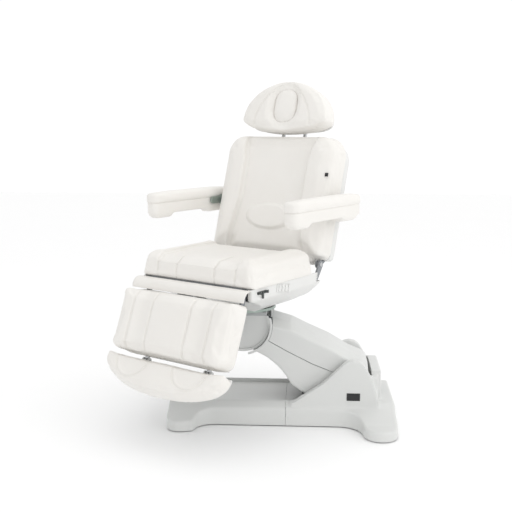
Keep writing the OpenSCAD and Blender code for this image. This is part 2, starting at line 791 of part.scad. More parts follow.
// A half-moon outline: full half width at its widest line, domed above, shallow below.
module headrest_plan(grow) {
  widest = headrest_y + 56;
  rise = head_h - 56;
  polygon([for (i = [0:1:32]) let (t = i * 5.625)
      [(head_half + grow) * sign(cos(t)) * pow(abs(cos(t)), 1.05), widest + (rise + grow) *
        pow(sin(t), 1.05)],
    for (i = [1:1:9]) let (t = 180 + i * 18)
      [(head_half + grow) * sign(cos(t)) * pow(abs(cos(t)), 0.5), widest + (56 + grow) *
        -pow(abs(sin(t)), 0.8)]]);
}

module plug_plan(d) {
  centre = headrest_y + 118;
  for (s = [-1, 1]) translate([0, centre + s * 20]) circle(60 - d);
  translate([-60 + d, centre - 20]) square([120 - 2 * d, 40]);
}

module headrest_shell() color([0.95, 0.95, 0.94]) back_pose() {
  difference() {
    translate([0, 0, -89]) linear_extrude(9) headrest_plan(-12);
    translate([0, 0, -90]) linear_extrude(12) plug_plan(-1);
  }
  both_sides(52) difference() {
    along_x(6) {
      translate(head_hinge) circle(9);
      translate([head_hinge[0] - 9, head_hinge[1]]) square([18, 14]);
    }
    cross_rod(head_hinge, 5 + fit_gap, 20);
  }
}

module headrest_cushion() color([0.97, 0.97, 0.96]) back_pose() difference() {
  translate([0, 0, -80]) linear_extrude(90) headrest_plan(0);
  translate([0, 0, -81]) linear_extrude(100) plug_plan(0);
}

module face_plug() color([0.97, 0.97, 0.96]) back_pose()
  translate([0, 0, -60]) linear_extrude(66) plug_plan(0.8);

// ---- armrests -------------------------------------------------------------------------------

module armrest_bracket(s) color([0.6, 0.61, 0.62]) seat_pose() scale([s, 1, 1]) {
  difference() {
    translate([320, 0, 0]) rotate([90, 0, 90]) linear_extrude(8) {
      translate(armrest_pivot) circle(24);
      translate([armrest_pivot[0] - 70, armrest_pivot[1] - 16]) square([70, 32]);
      translate([armrest_pivot[0] - 70, armrest_pivot[1]]) circle(16);
    }
    translate([300, armrest_pivot[0], armrest_pivot[1]]) rotate([0, 90, 0])
      cylinder(r = 9 + fit_gap, h = 60);
  }
  translate([328, armrest_pivot[0] - 70, armrest_pivot[1]]) rotate([0, 90, 0])
    cylinder(r = 8, h = 30);
}

module shell_outline() {
  end = armrest_front + armrest_len;
  polygon([[armrest_front + 4, 197], [armrest_front + 8, 160], [armrest_front + 30, 134],
    [armrest_front + 60, 126], [armrest_front + 115, 128], [armrest_front + 180, 140],
    [armrest_front + 270, 144], [armrest_front + 345, 140], [armrest_front + 400, 128],
    [end - 70, 128], [end - 20, 152], [end - 4, 197]]);
}

module armrest_shell(s) color([0.93, 0.93, 0.93]) seat_pose() difference() {
  translate([s * armrest_x, 0, 0]) along_x(armrest_w - 6) shell_outline();
  translate([s * 330, armrest_pivot[0] - 70, armrest_pivot[1]]) rotate([0, s * 90, 0])
    cylinder(r = 8 + fit_gap, h = 31);
}

module armrest_pad(s) color([0.97, 0.97, 0.96]) seat_pose()
  translate([s * armrest_x, armrest_front + armrest_len / 2, 197])
    round_plate(armrest_w, armrest_len, 43, 30);

module armrest_bracket_left() armrest_bracket(1);
module armrest_bracket_right() armrest_bracket(-1);
module armrest_shell_left() armrest_shell(1);
module armrest_shell_right() armrest_shell(-1);
module armrest_pad_left() armrest_pad(1);
module armrest_pad_right() armrest_pad(-1);

// ---- leg and foot rest, drawn flat with the face at z = 0 -----------------------------------

slide_z = -113;

module leg_frame() color(steel_paint) leg_pose() {
  translate([-270, leg_top - leg_len + 8, -leg_t - 5]) cube([540, leg_len - 16, 5]);
  both_sides(165) translate([0, leg_top - leg_len + 10, slide_z]) rotate([-90, 0, 0]) difference() {
    cylinder(r = 14, h = 220);
    translate([0, 0, -1]) cylinder(r = 10 + fit_gap, h = 230);
  }
  both_sides(248) difference() {
    along_x(8) {
      translate(leg_axis) circle(15);
      polygon([[leg_axis[0], -127], [leg_axis[0], -103], [-392, -99.5], [-440, -99.5],
        [-440, -110], [-400, -127]]);
    }
    cross_rod(leg_axis, hinge_r + hinge_gap, 20);
  }
  // Lever for the leg actuator.
  translate([-75, 0, 0]) {
    both_sides(22) along_x(8) {
      translate(leg_lug) circle(12);
      polygon([[leg_lug[0] + 6, leg_lug[1] - 10], [leg_lug[0] + 8, leg_lug[1] + 9], [-400, -99.5],
        [-450, -99.5], [leg_lug[0] - 11, leg_lug[1]]]);
    }
    cross_rod(leg_lug, 6, 52);
  }
}

module leg_cushion() color([0.97, 0.97, 0.96]) leg_pose()
  translate([0, leg_top - leg_len / 2, -leg_t]) round_plate(600, leg_len, leg_t, 30);

module foot_frame() color([0.75, 0.75, 0.77]) leg_pose() {
  both_sides(165) {
    translate([0, foot_axis[0] + 8, slide_z]) rotate([-90, 0, 0]) cylinder(r = 10, h = 205);
    along_x(10) {
      translate(foot_axis) circle(10);
      translate([foot_axis[0], slide_z - 9]) square([12, 18]);
    }
    cross_rod(foot_axis, 5, 40);
  }
  translate([-165, foot_axis[0] + 14, slide_z - 7]) cube([330, 8, 14]);
}

module foot_half_moon(half, depth, y0) {
  intersection() {
    translate([-half, y0 - depth]) square([2 * half, depth]);
    polygon([for (i = [0:1:48]) let (t = i * 7.5)
      [half * sign(cos(t)) * pow(abs(cos(t)), 0.87),
       y0 - 14 + (depth - 14) * sign(sin(t)) * pow(abs(sin(t)), 0.87)]]);
  }
}

module foot_board() color([0.9, 0.9, 0.9]) foot_pose() {
  translate([0, 0, -102]) linear_extrude(9.9) foot_half_moon(foot_half - 12, 132, -684);
  both_sides(165) for (s = [-1, 1]) difference() {
    translate([s * 15, 0, 0]) along_x(8) {
      translate(foot_axis) circle(10);
      polygon([[foot_axis[0] - 10, foot_axis[1]], [foot_axis[0] + 10, foot_axis[1]],
        [foot_axis[0] - 6, -101], [foot_axis[0] - 40, -101]]);
    }
    cross_rod(foot_axis, 5 + fit_gap, 60);
  }
}

module foot_cushion() color([0.97, 0.97, 0.96]) foot_pose()
  translate([0, 0, -92]) linear_extrude(64) foot_half_moon(foot_half, 140, -690);

base_frame();
base_front_cover();
base_rear_cover();
levelling_feet();
power_inlet();
rating_plate();
cover_screws();
control_box();
main_arm();
lower_arm_cover();
pivot_pins();
upper_link();
upper_arm_cover();
lift_actuator_housing();
lift_actuator_rod();
head_housing();
head_side_caps();
slewing_ring();
turntable();
seat_bracket();
tilt_actuator_housing();
tilt_actuator_rod();
seat_frame();
hinge_pins();
seat_pan();
seat_cushion();
front_flap();
control_panel();
hand_control_hook();
button_1();
button_2();
button_3();
button_4();
button_5();
button_6();
button_7();
button_8();
recline_actuator_housing();
recline_actuator_rod();
leg_actuator_housing();
leg_actuator_rod();
back_frame();
back_shell();
back_cushion();
headrest_rods();
headrest_shell();
headrest_cushion();
face_plug();
armrest_bracket_left();
armrest_bracket_right();
armrest_shell_left();
armrest_shell_right();
armrest_pad_left();
armrest_pad_right();
leg_frame();
leg_cushion();
foot_frame();
foot_board();
foot_cushion();
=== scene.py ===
import bpy, math
import numpy as np
from mathutils import Matrix, Vector
from mathutils.bvhtree import BVHTree


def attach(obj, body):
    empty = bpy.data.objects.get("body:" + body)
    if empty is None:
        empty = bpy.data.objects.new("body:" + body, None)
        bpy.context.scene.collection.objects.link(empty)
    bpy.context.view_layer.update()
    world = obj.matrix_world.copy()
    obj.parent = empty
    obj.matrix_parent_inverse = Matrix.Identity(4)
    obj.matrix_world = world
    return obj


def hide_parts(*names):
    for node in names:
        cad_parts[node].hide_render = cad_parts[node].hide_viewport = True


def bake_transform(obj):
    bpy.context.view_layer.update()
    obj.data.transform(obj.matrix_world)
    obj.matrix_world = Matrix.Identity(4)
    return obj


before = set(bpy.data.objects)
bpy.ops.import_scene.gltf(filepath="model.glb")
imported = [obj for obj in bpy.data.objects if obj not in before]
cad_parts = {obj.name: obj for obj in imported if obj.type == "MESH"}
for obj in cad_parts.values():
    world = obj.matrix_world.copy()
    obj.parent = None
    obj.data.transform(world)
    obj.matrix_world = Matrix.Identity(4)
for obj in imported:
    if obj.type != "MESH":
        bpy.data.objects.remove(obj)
bpy.ops.object.select_all(action="DESELECT")
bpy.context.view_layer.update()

# ---- Camera, lights and floor ---------------------------------------------------------------
# A pale studio sweep: a long lens at about chest height on the sitter's left, one large soft
# key on the right, a weaker fill on the left and an overhead bank.
camera_data = bpy.data.cameras.new("camera")
camera_data.lens, camera_data.sensor_width = 56.70, 36.0
camera_data.clip_start, camera_data.clip_end = 0.05, 60
camera = bpy.data.objects.new("camera", camera_data)
bpy.context.collection.objects.link(camera)
ahead = Vector((-0.98553, -0.05748, -0.15943))
aside = Vector((-0.05822, 0.99830, 0.0))
over = aside.cross(ahead)
camera.matrix_world = Matrix.Translation((3.5271, 0.2570, 1.2839)) @ Matrix(
    (aside, over, -ahead)).transposed().to_4x4()
bpy.context.scene.camera = camera
bpy.context.scene.view_settings.view_transform = "Standard"


def tone(code):
    """An sRGB hex colour as linear RGBA."""
    parts = [int(code[i:i + 2], 16) / 255 for i in (1, 3, 5)]
    return tuple(c / 12.92 if c <= 0.04045 else ((c + 0.055) / 1.055) ** 2.4 for c in parts) + (1,)


def node(tree, kind, links=(), **settings):
    """Adds a shader node. Settings whose names are sockets are set there, the rest on the node;
    links are (socket here, output socket of another node)."""
    made = tree.nodes.new(kind)
    for key, value in settings.items():
        label = key.replace("_", " ")
        if hasattr(made, key):
            setattr(made, key, value)
        elif label in made.inputs:
            made.inputs[label].default_value = value
        else:
            raise KeyError(f"{kind} has no {key}")
    for socket, output in links:
        tree.links.new(made.inputs[socket], output)
    return made


studio = bpy.data.worlds.new("studio")
bpy.context.scene.world = studio
studio.use_nodes = True
tree = studio.node_tree
backdrop = tree.nodes["Background"]
backdrop.inputs["Color"].default_value = (1, 1, 1, 1)
toward = node(tree, "ShaderNodeTexCoord")
lean = node(tree, "ShaderNodeVectorMath", [(0, toward.outputs["Generated"])],
            operation="DOT_PRODUCT")
lean.inputs[1].default_value = (0.30, 0.85, 0.42)
glow = node(tree, "ShaderNodeMapRange", [("Value", lean.outputs["Value"])],
            From_Min=-1.0, To_Min=0.68, To_Max=1.20)
ray = node(tree, "ShaderNodeLightPath")
level = node(tree, "ShaderNodeMix", [(0, ray.outputs["Is Camera Ray"]), (2, glow.outputs["Result"])],
             data_type="FLOAT")
level.inputs[3].default_value = 1.04
tree.links.new(backdrop.inputs["Strength"], level.outputs[0])


def soft_box(name, place, aim, width, height, power):
    data = bpy.data.lights.new(name, "AREA")
    data.shape, data.size, data.size_y, data.energy = "RECTANGLE", width, height, power
    lamp = bpy.data.objects.new(name, data)
    bpy.context.collection.objects.link(lamp)
    lamp.matrix_world = Matrix.Translation(place) @ (
        Vector(aim) - Vector(place)).to_track_quat("-Z", "Y").to_matrix().to_4x4()


soft_box("key", (1.6, 3.4, 2.6), (0, 0.1, 0.7), 2.4, 2.0, 9)
soft_box("fill", (2.6, -2.6, 1.9), (0, 0, 0.7), 2.4, 2.0, 2)
soft_box("overhead", (-0.2, 0.1, 3.6), (0, 0.1, 0.5), 3.0, 3.0, 8)

floor_paper = bpy.data.materials.new("matt_backdrop_paper_white")
floor_paper.use_nodes = True
tree = floor_paper.node_tree
surface = tree.nodes["Principled BSDF"]
surface.inputs["Roughness"].default_value = 0.9
place = node(tree, "ShaderNodeTexCoord")
mottle = node(tree, "ShaderNodeTexNoise", [("Vector", place.outputs["Object"])], Scale=1.5, Detail=2.0)
ramp = node(tree, "ShaderNodeMapRange", [("Value", mottle.outputs["Fac"])], To_Min=0.975, To_Max=0.985)
tree.links.new(surface.inputs["Base Color"], ramp.outputs["Result"])
bpy.ops.mesh.primitive_plane_add(size=24, location=(0, 0, 0))
floor = bpy.context.object
floor.name = "studio_floor"
floor.data.materials.append(floor_paper)
bpy.ops.object.select_all(action="DESELECT")

# ---- Base covers, arm covers and head caps --------------------------------------------------
# Large injection-moulded ABS shells in pale grey, screwed to the welded frame. Their outer edges
# are well rounded, and the tray between the crests is a shallow open trough.


def moulded_plastic(name, colour, shade, roughness, grain_mm):
    """Injection-moulded ABS: an even colour with faint flow clouds, and a fine spark-eroded grain."""
    made = bpy.data.materials.new(name)
    made.use_nodes = True
    tree = made.node_tree
    surface = tree.nodes["Principled BSDF"]
    surface.inputs["IOR"].default_value = 1.53
    place = node(tree, "ShaderNodeTexCoord")
    cloud = node(tree, "ShaderNodeTexNoise", [("Vector", place.outputs["Object"])],
                 Scale=4.0, Detail=3.0, Roughness=0.55)
    blend = node(tree, "ShaderNodeMix", [(0, cloud.outputs["Fac"])], data_type="RGBA")
    blend.inputs[6].default_value, blend.inputs[7].default_value = tone(colour), tone(shade)
    tree.links.new(surface.inputs["Base Color"], blend.outputs[2])
    smear = node(tree, "ShaderNodeTexNoise", [("Vector", place.outputs["Object"])],
                 Scale=28.0, Detail=4.0)
    gloss = node(tree, "ShaderNodeMapRange", [("Value", smear.outputs["Fac"])],
                 To_Min=roughness - 0.05, To_Max=roughness + 0.06)
    tree.links.new(surface.inputs["Roughness"], gloss.outputs["Result"])
    grain = node(tree, "ShaderNodeTexNoise", [("Vector", place.outputs["Object"])],
                 Scale=1000.0 / grain_mm, Detail=2.0)
    relief = node(tree, "ShaderNodeBump", [("Height", grain.outputs["Fac"])],
                  Strength=0.12, Distance=0.0003)
    tree.links.new(surface.inputs["Normal"], relief.outputs["Normal"])
    return made


def finish(material, *names):
    """Puts a material on CAD nodes."""
    for name in names:
        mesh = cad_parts[name].data
        mesh.materials.clear()
        mesh.materials.append(material)


abs_grey = moulded_plastic("moulded_abs_pale_grey", "#dadbd9", "#d5d6d4", 0.34, 1.6)
finish(abs_grey, "base_front_cover", "base_rear_cover", "lower_arm_cover", "upper_arm_cover",
       "head_side_caps", "cover_screws")
abs_white = moulded_plastic("moulded_abs_white", "#e4e4e2", "#dfdfdd", 0.30, 1.4)
finish(abs_white, "seat_pan", "back_shell", "headrest_shell", "armrest_shell_left",
       "armrest_shell_right", "foot_board", "control_panel", *[f"button_{i}" for i in range(1, 9)])
abs_black = moulded_plastic("moulded_abs_black", "#17181a", "#1d1e20", 0.5, 1.2)
finish(abs_black, "power_inlet", "rating_plate", "turntable", "control_box",
       "lift_actuator_housing", "tilt_actuator_housing", "recline_actuator_housing",
       "leg_actuator_housing")
abs_dark = moulded_plastic("moulded_abs_dark_grey", "#4c504f", "#434746", 0.45, 1.2)
finish(abs_dark, "hand_control_hook")


def metal(name, colour, shade, metallic, roughness, streak):
    """Steel: even colour with light clouds, and brushed or rolled streaks in the gloss."""
    made = bpy.data.materials.new(name)
    made.use_nodes = True
    tree = made.node_tree
    surface = tree.nodes["Principled BSDF"]
    surface.inputs["Metallic"].default_value = metallic
    place = node(tree, "ShaderNodeTexCoord")
    cloud = node(tree, "ShaderNodeTexNoise", [("Vector", place.outputs["Object"])],
                 Scale=14.0, Detail=4.0)
    blend = node(tree, "ShaderNodeMix", [(0, cloud.outputs["Fac"])], data_type="RGBA")
    blend.inputs[6].default_value, blend.inputs[7].default_value = tone(colour), tone(shade)
    tree.links.new(surface.inputs["Base Color"], blend.outputs[2])
    turn = node(tree, "ShaderNodeMapping", [("Vector", place.outputs["Object"])],
                Scale=(streak, streak, 1.0))
    lines = node(tree, "ShaderNodeTexNoise", [("Vector", turn.outputs["Vector"])],
                 Scale=40.0, Detail=3.0)
    gloss = node(tree, "ShaderNodeMapRange", [("Value", lines.outputs["Fac"])],
                 To_Min=roughness - 0.07, To_Max=roughness + 0.09)
    tree.links.new(surface.inputs["Roughness"], gloss.outputs["Result"])
    return made


powder_grey = metal("powder_coated_steel_grey", "#8d9094", "#84878b", 0.0, 0.45, 1.0)
finish(powder_grey, "base_frame", "main_arm", "upper_link", "seat_bracket", "seat_frame",
       "back_frame", "leg_frame")
enamel_grey = metal("stove_enamelled_steel_light_grey", "#b9bbbb", "#b2b4b4", 0.0, 0.38, 1.0)
finish(enamel_grey, "head_housing")
zinc = metal("zinc_plated_steel", "#aab5ae", "#9ca9a2", 0.85, 0.38, 6.0)
finish(zinc, "slewing_ring", "armrest_bracket_left", "armrest_bracket_right")
ground_steel = metal("ground_steel_bright", "#c9cacb", "#bdbebf", 1.0, 0.22, 8.0)
finish(ground_steel, "pivot_pins", "hinge_pins", "headrest_rods", "foot_frame",
       "lift_actuator_rod", "tilt_actuator_rod", "recline_actuator_rod", "leg_actuator_rod")

# ---- Seat cushion ---------------------------------------------------------------------------
# A foam block on a plywood board, covered in white coated upholstery cloth. Bolsters run down
# both sides, and a stitched ridge between the two thigh channels fades out towards the back.
seat_pose = Matrix.Translation((0, 0, 0.747)) @ Matrix.Rotation(math.radians(57.7), 4, "Z")


def leatherette_cloth(name, colour, shade):
    """PVC-coated cloth: satin, faintly mottled, with an embossed pebble grain. The real pebbles
    are about 1 mm and are drawn at 2.5 mm so that they show."""
    made = bpy.data.materials.new(name)
    made.use_nodes = True
    tree = made.node_tree
    surface = tree.nodes["Principled BSDF"]
    surface.inputs["IOR"].default_value = 1.46
    surface.inputs["Sheen Weight"].default_value = 0.08
    place = node(tree, "ShaderNodeTexCoord")
    cloud = node(tree, "ShaderNodeTexNoise", [("Vector", place.outputs["Object"])],
                 Scale=7.0, Detail=4.0, Roughness=0.6)
    blend = node(tree, "ShaderNodeMix", [(0, cloud.outputs["Fac"])], data_type="RGBA")
    blend.inputs[6].default_value, blend.inputs[7].default_value = tone(colour), tone(shade)
    tree.links.new(surface.inputs["Base Color"], blend.outputs[2])
    pebble = node(tree, "ShaderNodeTexVoronoi", [("Vector", place.outputs["Object"])],
                  feature="SMOOTH_F1", Scale=400.0, Smoothness=0.6)
    gloss = node(tree, "ShaderNodeMapRange", [("Value", pebble.outputs["Distance"])],
                 To_Min=0.40, To_Max=0.52)
    tree.links.new(surface.inputs["Roughness"], gloss.outputs["Result"])
    pull = node(tree, "ShaderNodeTexNoise", [("Vector", place.outputs["Object"])],
                Scale=16.0, Detail=2.0)
    soft = node(tree, "ShaderNodeBump", [("Height", pull.outputs["Fac"])],
                Strength=0.15, Distance=0.004)
    relief = node(tree, "ShaderNodeBump", [("Height", pebble.outputs["Distance"]),
                                           ("Normal", soft.outputs["Normal"])],
                  Strength=0.18, Distance=0.0004)
    tree.links.new(surface.inputs["Normal"], relief.outputs["Normal"])
    return made


leatherette = leatherette_cloth("pvc_leatherette_white", "#edebe7", "#e8e5e0")
# The thread tones are a little darker and warmer than the cloth's. The darkening is painted shade
# along the seams, since the thread itself is white.
thread = leatherette_cloth("polyester_thread_with_painted_seam_shade", "#e9e6e0", "#e2dfd8")


def block(name, low, high):
    """A cuboid between two corners, from the cube primitive."""
    bpy.ops.object.select_all(action="DESELECT")
    centre = (Vector(low) + Vector(high)) / 2
    bpy.ops.mesh.primitive_cube_add(size=1, location=centre, scale=Vector(high) - Vector(low))
    made = bpy.context.object
    made.name = made.data.name = name
    bpy.ops.object.transform_apply(location=True, rotation=True, scale=True)
    return made


def take(piece):
    """Makes one piece the only selected and the active one."""
    bpy.ops.object.select_all(action="DESELECT")
    piece.select_set(True)
    bpy.context.view_layer.objects.active = piece


def choose(piece, kind, test):
    """Selects the edges or faces whose middle passes the test, and leaves edit mode on."""
    take(piece)
    mesh = piece.data
    for part in (*mesh.vertices, *mesh.edges, *mesh.polygons):
        part.select = False
    where = [v.co for v in mesh.vertices]
    for part in mesh.edges if kind == "EDGE" else mesh.polygons:
        ends = [where[i] for i in part.vertices]
        part.select = test(sum(ends, Vector()) / len(ends), ends)
    bpy.ops.object.mode_set(mode="EDIT")
    bpy.ops.mesh.select_mode(type=kind)


def round_edges(piece, width, steps, test):
    choose(piece, "EDGE", test)
    bpy.ops.mesh.bevel(offset=width, segments=steps, affect="EDGES")
    bpy.ops.object.mode_set(mode="OBJECT")


def applied(piece, kind, **settings):
    """Adds a modifier, sets it and applies it."""
    take(piece)
    added = piece.modifiers.new(kind.lower(), kind)
    for key, value in settings.items():
        setattr(added, key, value)
    bpy.ops.object.modifier_apply(modifier=added.name)


def upright(centre, ends):
    return abs(ends[0].z - ends[1].z) > 0.02


def points(piece):
    flat = np.empty(len(piece.data.vertices) * 3)
    piece.data.vertices.foreach_get("co", flat)
    return flat.reshape(-1, 3)


def facings(piece):
    flat = np.empty(len(piece.data.vertices) * 3)
    piece.data.vertex_normals.foreach_get("vector", flat)
    return flat.reshape(-1, 3)


def place_points(piece, where):
    piece.data.vertices.foreach_set("co", where.astype(np.float32).ravel())
    piece.data.update()


def stuffed(piece, voxel, pressure, cap, board_z, relax=4):
    """Foam under a tight cover: the block is remeshed, then inflated as cloth whose underside is
    tacked to the board, no point moving further than the cap."""
    applied(piece, "REMESH", mode="VOXEL", voxel_size=voxel, use_smooth_shade=True)
    start = points(piece)
    tacked = piece.vertex_groups.new(name="tacked")
    tacked.add([int(i) for i in np.nonzero(start[:, 2] < board_z)[0]], 1.0, "REPLACE")
    cover = piece.modifiers.new("cover", "CLOTH")
    cover.settings.quality, cover.settings.mass = 4, 0.3
    cover.settings.use_pressure = True
    cover.settings.uniform_pressure_force = pressure
    cover.settings.vertex_group_mass = "tacked"
    cover.settings.effector_weights.gravity = 0
    for step in range(1, 21):
        bpy.context.scene.frame_set(step)
    shown = piece.evaluated_get(bpy.context.evaluated_depsgraph_get())
    swollen = np.empty(start.size)
    shown.data.vertices.foreach_get("co", swollen)
    move = swollen.reshape(-1, 3) - start
    length = np.linalg.norm(move, axis=1, keepdims=True)
    move *= np.minimum(1, cap / np.maximum(length, 1e-9))
    piece.modifiers.remove(cover)
    piece.vertex_groups.clear()
    place_points(piece, start + move)
    bpy.context.scene.frame_set(1)
    applied(piece, "SMOOTH", factor=0.5, iterations=relax)
    applied(piece, "SUBSURF", levels=1, render_levels=1)


def step_between(value, low, high):
    """0 below low, 1 above high, smooth between."""
    t = np.clip((value - low) / (high - low), 0, 1)
    return t * t * (3 - 2 * t)


def near_line(flat, line):
    """Distance of each 2-D point from an open line of points."""
    best = np.full(len(flat), 9.0)
    for a, b in zip(line[:-1], line[1:]):
        a, b = np.array(a, float), np.array(b, float)
        t = np.clip(((flat - a) @ (b - a)) / ((b - a) @ (b - a)), 0, 1)
        best = np.minimum(best, np.linalg.norm(flat - a - t[:, None] * (b - a), axis=1))
    return best


def sew(piece, lines, plane, facing, depth=0.005, width=0.0045):
    """Draws seams into a cover: a soft groove along lines that are drawn in a plane of two axes,
    on the side that faces a given way."""
    where, normal = points(piece), facings(piece)
    seen = step_between(normal @ np.array(facing, float), 0.25, 0.6)
    sink = np.zeros(len(where))
    for line in lines:
        apart = near_line(where[:, plane], line)
        sink = np.maximum(sink, np.exp(-(apart / width) ** 2))
    place_points(piece, where - normal * (depth * sink * seen)[:, None])


def laid_on(piece, line, plane, facing, lift=0.0002):
    """Takes a line in a plane of two axes onto the piece's surface, 4 mm apart."""
    tree = BVHTree.FromPolygons([v.co for v in piece.data.vertices],
                                [p.vertices[:] for p in piece.data.polygons])
    facing = Vector(facing)
    found = []
    for a, b in zip(line[:-1], line[1:]):
        n = max(1, int(math.dist(a, b) / 0.004))
        for i in range(n + (b == line[-1])):
            spot = [facing[k] * 0.6 for k in range(3)]
            for k, axis in enumerate(plane):
                spot[axis] = a[k] + (b[k] - a[k]) * i / n
            hit, normal = tree.ray_cast(Vector(spot), -facing)[:2]
            if hit is not None:
                found.append(hit + normal * lift)
    return found


def stitches(name, path, pitch=0.008, radius=0.0009):
    """A row of thread stitches along a path: one stitch, repeated and bent along it."""
    guide_data = bpy.data.curves.new(name, "CURVE")
    guide_data.dimensions = "3D"
    spline = guide_data.splines.new("POLY")
    spline.points.add(len(path) - 1)
    for point, co in zip(spline.points, path):
        point.co = (*co, 1)
    guide = bpy.data.objects.new(name + "_guide", guide_data)
    bpy.context.collection.objects.link(guide)
    bpy.ops.object.select_all(action="DESELECT")
    bpy.ops.mesh.primitive_uv_sphere_add(segments=6, ring_count=4, radius=1, location=(0, 0, 0))
    row = bpy.context.object
    row.name = row.data.name = name
    row.scale = (pitch * 0.38, radius, radius)
    row.location = (pitch / 2, 0, 0)
    bpy.ops.object.transform_apply(location=True, rotation=True, scale=True)
    applied(row, "ARRAY", fit_type="FIT_CURVE", curve=guide, use_relative_offset=False,
            use_constant_offset=True, constant_offset_displace=(pitch, 0, 0))
    applied(row, "CURVE", object=guide, deform_axis="POS_X")
    bpy.data.objects.remove(guide, do_unlink=True)
    return row


def beside(line, gap):
    """The same line moved sideways by gap."""
    made = []
    for i, p in enumerate(line):
        a, b = line[max(i - 1, 0)], line[min(i + 1, len(line) - 1)]
        d = (b[0] - a[0], b[1] - a[1])
        n = math.hypot(*d) or 1
        made.append((p[0] - d[1] / n * gap, p[1] + d[0] / n * gap))
    return made


def double_stitch(host, name, lines, plane, facing):
    """Two rows of stitches, 4 mm either side of each seam."""
    rows = []
    for i, line in enumerate(lines):
        for side in (-0.004, 0.004):
            path = laid_on(host, beside(line, side), plane, facing)
            if len(path) > 3:
                rows.append(stitches(f"{name}_{i}", path))
    bpy.ops.object.select_all(action="DESELECT")
    for row in rows:
        row.select_set(True)
    bpy.context.view_layer.objects.active = rows[0]
    if len(rows) > 1:
        bpy.ops.object.join()
    made = bpy.context.object
    made.name = made.data.name = name
    return made


def finished(piece, pose, body, material, *stands_for, slot="leatherette"):
    """Takes a piece from its flat drawing to its place, gives it its material and its body."""
    piece.data.transform(pose)
    piece.data.materials.clear()
    piece.data.materials.append(material)
    take(piece)
    bpy.ops.object.shade_smooth()
    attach(piece, body)
    if stands_for:
        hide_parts(*stands_for)
    bpy.ops.object.select_all(action="DESELECT")


seat = block("seat_cushion_cover", (-0.297, -0.355, -0.1020), (0.297, 0.103, -0.006))
round_edges(seat, 0.036, 4, lambda c, e: upright(c, e) and c.y < 0)
round_edges(seat, 0.020, 3, lambda c, e: upright(c, e) and c.y > 0.09)
round_edges(seat, 0.026, 4, lambda c, e: all(p.z > -0.02 for p in e))
stuffed(seat, 0.007, 4, 0.012, -0.088)
where = points(seat)
across, along = np.abs(where[:, 0]), where[:, 1]
up = step_between(facings(seat)[:, 2], 0.1, 0.7)
panel = 1 - step_between(across, 0.196, 0.212)
front = 1 - step_between(along, -0.26, -0.06)
ridge = 1 - step_between(across, 0.075, 0.125)
where[:, 2] += up * (0.006 * (1 - panel) - panel * (0.006 + 0.007 * (1 - ridge) * front))
place_points(seat, where)
seat_seams = [[(s * 0.205, -0.345), (s * 0.205, -0.25), (s * 0.206, -0.1), (s * 0.205, 0.09)]
              for s in (-1, 1)] + [[(s * 0.1, -0.345), (s * 0.098, -0.27), (s * 0.088, -0.20)]
                                   for s in (-1, 1)]
front_seams = [[(x, -0.012), (x, -0.09)] for x in (-0.205, -0.1, 0.1, 0.205)]
sew(seat, seat_seams, [0, 1], (0, 0, 1))
sew(seat, front_seams, [0, 2], (0, -1, 0))
seat_thread = double_stitch(seat, "seat_cushion_thread", seat_seams, [0, 1], (0, 0, 1))
finished(seat, seat_pose, "seat", leatherette, "seat_cushion")
finished(seat_thread, seat_pose, "seat", thread)

# ---- Backrest cushion -----------------------------------------------------------------------
# A tall foam slab with raised bolsters that flare at the seat, a sunken centre panel with a low
# lumbar oval, and double-stitched seams. It is screwed to the steel frame through its board.


def turned(axis, angle):
    """Turns a flat-drawn panel about an axis along the sitter's left."""
    return Matrix.Translation((0, *axis)) @ Matrix.Rotation(math.radians(angle), 4, "X") @ \
        Matrix.Translation((0, -axis[0], -axis[1]))


back_pose = seat_pose @ turned((0.185, -0.070), 73.4)
back = block("back_cushion_cover", (-0.309, 0.209, -0.1038), (0.309, 0.768, -0.003))
round_edges(back, 0.096, 9, lambda c, e: upright(c, e) and c.y > 0.7)
round_edges(back, 0.024, 3, lambda c, e: upright(c, e) and c.y < 0.3)
round_edges(back, 0.032, 4, lambda c, e: all(p.z > -0.01 for p in e))
tongue = block("tongue", (-0.246, 0.176, -0.097), (0.246, 0.240, -0.014))
round_edges(tongue, 0.020, 3, lambda c, e: all(p.z > -0.02 for p in e))
take(back)
tongue.select_set(True)
bpy.ops.object.join()
stuffed(back, 0.0075, 4, 0.012, -0.088)
where = points(back)
seam_y = np.array([0.17, 0.23, 0.45, 0.63, 0.76])
seam_x = np.array([0.212, 0.205, 0.168, 0.170, 0.194])
inner = np.interp(where[:, 1], seam_y, seam_x)
across = np.abs(where[:, 0])
up = step_between(facings(back)[:, 2], 0.05, 0.6)
panel = 1 - step_between(across, inner - 0.008, inner + 0.010)
top_fade = 1 - step_between(where[:, 1], 0.71, 0.765)
swell = np.sin(np.clip((across - inner) / (0.31 - inner), 0, 1) * math.pi) ** 0.7
lumbar = 1 - step_between(np.hypot(where[:, 0] / 0.138, (where[:, 1] - 0.375) / 0.066), 0.72, 1.0)
where[:, 2] += up * (0.004 * swell - 0.027 * panel * (0.35 + 0.65 * top_fade) + 0.013 * lumbar)
place_points(back, where)
back_seams = [[(s * x, y) for x, y in ((0.207, 0.222), (0.188, 0.33), (0.169, 0.45),
                                       (0.169, 0.63), (0.186, 0.72), (0.192, 0.755))]
              for s in (-1, 1)]
rim = [(0.13 * math.cos(t / 24 * math.tau), 0.375 + 0.060 * math.sin(t / 24 * math.tau))
       for t in range(25)]
sew(back, back_seams, [0, 1], (0, 0, 1), 0.004, 0.005)
sew(back, [rim], [0, 1], (0, 0, 1), 0.0015, 0.005)
back_thread = double_stitch(back, "back_cushion_thread", back_seams, [0, 1], (0, 0, 1))
finished(back, back_pose, "backrest", leatherette, "back_cushion")
finished(back_thread, back_pose, "backrest", thread)

# ---- Headrest -------------------------------------------------------------------------------
# A half-moon foam pad with a face opening, sewn with two stitched arcs, and a padded oval plug
# that fills the opening and pulls out for face-down treatment.


